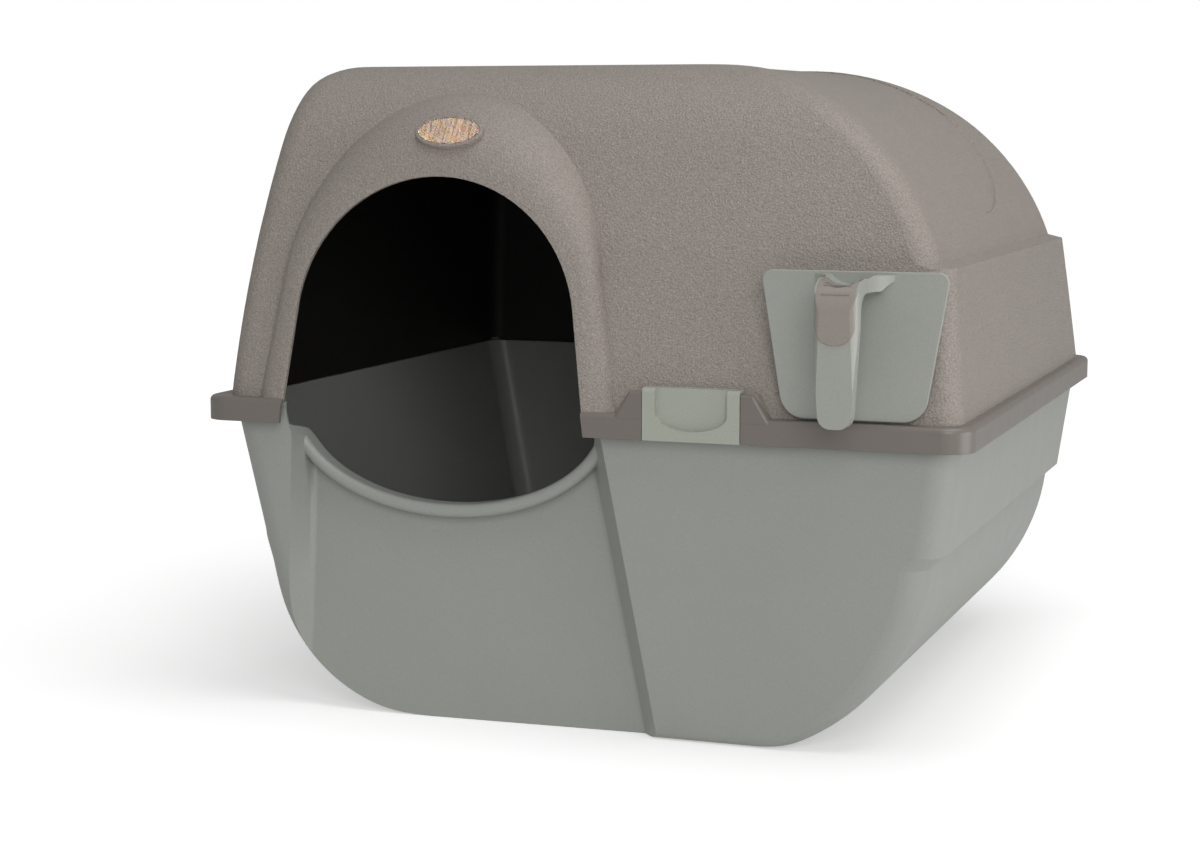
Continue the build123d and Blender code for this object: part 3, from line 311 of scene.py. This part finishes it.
# The rim and the clips' catches are smooth, with the taupe darkened as painted shade; the inside is
# near-black painted shade; the rest of the hood is grained.
GRAINED, SMOOTH, INSIDE = range(3)
dress("hood_shell", hood_grained, hood_smooth_painted_shade, hood_inside_painted_shade)
hood_low, hood_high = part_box("hood_shell")
hood_middle = Vector((0, 0, RIM_TOP))
hood_mesh = nodes["hood_shell"].data
hood_walls = BVHTree.FromPolygons(
    [corner.co for corner in hood_mesh.vertices], [tuple(face.vertices) for face in hood_mesh.polygons]
)
for face in hood_mesh.polygons:
    corners = [hood_mesh.vertices[k].co for k in face.vertices]
    top = max(corner.z for corner in corners)
    inward = max(
        min(corner.x - hood_low.x, corner.y - hood_low.y, hood_high.y - corner.y) for corner in corners
    )
    on_rim = top < RIM_TOP + SNAP
    at_left = min(corner.x for corner in corners) - hood_low.x < CATCH_DEPTH
    along_wall = abs(face.center.x - CLIP_X) < CATCH_HALF
    if at_left:
        along_wall = abs(abs(face.center.y) - CLIP_Y) < CATCH_HALF
    on_catch = top < CATCH_TOP + SNAP and inward < CATCH_DEPTH and along_wall
    entrance_y = ENTRANCE_Y + (face.center.z - ENTRANCE_LOW) * ENTRANCE_SLOPE
    behind = face.center.y > entrance_y + ENTRANCE_DEPTH
    outward = (face.center - hood_middle).normalized()
    walled = hood_walls.ray_cast(face.center + face.normal * LIFT, outward)[0] is not None
    if on_rim or on_catch:
        face.material_index = SMOOTH
    else:
        # Faces behind the entrance with a wall outside them get the near-black painted shade
        face.material_index = INSIDE if behind and walled else GRAINED


# Stage

FLOOR_SIZE = 14.0
FLOOR_DROP = 0.2 * MM       # below the part's flat bottom
WORLD_LIGHT = 0.32          # strength of the world on the object
FLOOR_GLOW_NEAR = 0.28      # floor's own white, below the overhead lamp
FLOOR_GLOW_FAR = 0.74       # and where that lamp is too far to whiten it
FLOOR_NEAR = 0.2            # metres from the point below that lamp
FLOOR_FAR = 3.0
OVERHEAD = (0.7, -0.4, 2.4)
FLOOR_SHADE = 0.85          # part of the floor's white that shadows take away
FLOOR_BOUNCE = 0.50         # floor colour as the object sees it
FLOOR_FILL = 0.26           # light that the floor itself throws on the object


def make_floor():
    bpy.ops.mesh.primitive_plane_add(size=FLOOR_SIZE, location=(0, 0, -FLOOR_DROP))
    floor = bpy.context.object
    floor.name = "floor"
    material = bpy.data.materials.new("floor_white")
    material.use_nodes = True
    tree = material.node_tree
    tree.nodes.clear()
    output = tree.nodes.new("ShaderNodeOutputMaterial")
    seen = tree.nodes.new("ShaderNodeAddShader")
    glow = tree.nodes.new("ShaderNodeEmission")
    place = tree.nodes.new("ShaderNodeTexCoord")
    away = tree.nodes.new("ShaderNodeVectorMath")
    away.operation = "DISTANCE"
    away.inputs[1].default_value = (*OVERHEAD[:2], 0)
    level = tree.nodes.new("ShaderNodeMapRange")
    level.inputs["From Min"].default_value = FLOOR_NEAR
    level.inputs["From Max"].default_value = FLOOR_FAR
    level.inputs["To Min"].default_value = FLOOR_GLOW_NEAR
    level.inputs["To Max"].default_value = FLOOR_GLOW_FAR
    tree.links.new(place.outputs["Object"], away.inputs[0])
    tree.links.new(away.outputs["Value"], level.inputs["Value"])
    tree.links.new(level.outputs["Result"], glow.inputs["Strength"])
    shadowed = tree.nodes.new("ShaderNodeBsdfDiffuse")
    shadowed.inputs["Color"].default_value = (FLOOR_SHADE,) * 3 + (1,)
    bounce = tree.nodes.new("ShaderNodeBsdfDiffuse")
    bounce.inputs["Color"].default_value = (FLOOR_BOUNCE,) * 3 + (1,)
    fill = tree.nodes.new("ShaderNodeEmission")
    fill.inputs["Strength"].default_value = FLOOR_FILL
    thrown = tree.nodes.new("ShaderNodeAddShader")
    path = tree.nodes.new("ShaderNodeLightPath")
    choose = tree.nodes.new("ShaderNodeMixShader")
    tree.links.new(glow.outputs["Emission"], seen.inputs[0])
    tree.links.new(shadowed.outputs["BSDF"], seen.inputs[1])
    tree.links.new(path.outputs["Is Camera Ray"], choose.inputs["Fac"])
    tree.links.new(bounce.outputs["BSDF"], thrown.inputs[0])
    tree.links.new(fill.outputs["Emission"], thrown.inputs[1])
    tree.links.new(thrown.outputs["Shader"], choose.inputs[1])
    tree.links.new(seen.outputs["Shader"], choose.inputs[2])
    tree.links.new(choose.outputs["Shader"], output.inputs["Surface"])
    floor.data.materials.append(material)


def make_world():
    world = bpy.data.worlds.new("studio")
    bpy.context.scene.world = world
    world.use_nodes = True
    tree = world.node_tree
    tree.nodes.clear()
    output = tree.nodes.new("ShaderNodeOutputWorld")
    back = tree.nodes.new("ShaderNodeBackground")
    back.inputs["Color"].default_value = (1, 1, 1, 1)
    path = tree.nodes.new("ShaderNodeLightPath")
    seen = tree.nodes.new("ShaderNodeMath")
    seen.operation = "MAXIMUM"
    strength = tree.nodes.new("ShaderNodeMapRange")
    strength.inputs["To Min"].default_value = WORLD_LIGHT
    strength.inputs["To Max"].default_value = 1.0
    tree.links.new(path.outputs["Is Camera Ray"], seen.inputs[0])
    tree.links.new(path.outputs["Is Transmission Ray"], seen.inputs[1])
    tree.links.new(seen.outputs["Value"], strength.inputs["Value"])
    tree.links.new(strength.outputs["Result"], back.inputs["Strength"])
    tree.links.new(back.outputs["Background"], output.inputs["Surface"])


def softbox(name, place, aim, width, height, power):
    light = bpy.data.lights.new(name, "AREA")
    light.shape = "RECTANGLE"
    light.size = width
    light.size_y = height
    light.energy = power
    lamp = bpy.data.objects.new(name, light)
    lamp.location = place
    lamp.rotation_euler = (Vector(aim) - Vector(place)).to_track_quat("-Z", "Y").to_euler()
    bpy.context.scene.collection.objects.link(lamp)


make_floor()
make_world()
softbox("overhead", OVERHEAD, (0, 0, 0.3), 1.8, 1.4, 26)
softbox("key_right", (1.1, -2.5, 1.2), (0, 0, 0.25), 1.4, 1.5, 27)
softbox("low_right", (2.2, -0.2, 0.22), (0.2, 0, 0.1), 1.6, 0.4, 14)

# Camera, from the vanishing points of the photograph
LENS = 71.19                # millimetres, for a sensor 36 mm wide
CAMERA_PLACE = (0.5953, -1.8412, 0.4457)
CAMERA_TURN = 19.9          # degrees
CAMERA_DIP = 7.32

camera_data = bpy.data.cameras.new("camera")
camera_data.lens = LENS
camera_data.sensor_width = 36
camera_data.sensor_fit = "HORIZONTAL"
camera = bpy.data.objects.new("camera", camera_data)
camera.location = CAMERA_PLACE
camera.rotation_euler = (math.radians(90 - CAMERA_DIP), 0, math.radians(CAMERA_TURN))
bpy.context.scene.collection.objects.link(camera)
bpy.context.scene.camera = camera
bpy.context.scene.view_settings.view_transform = "Standard"
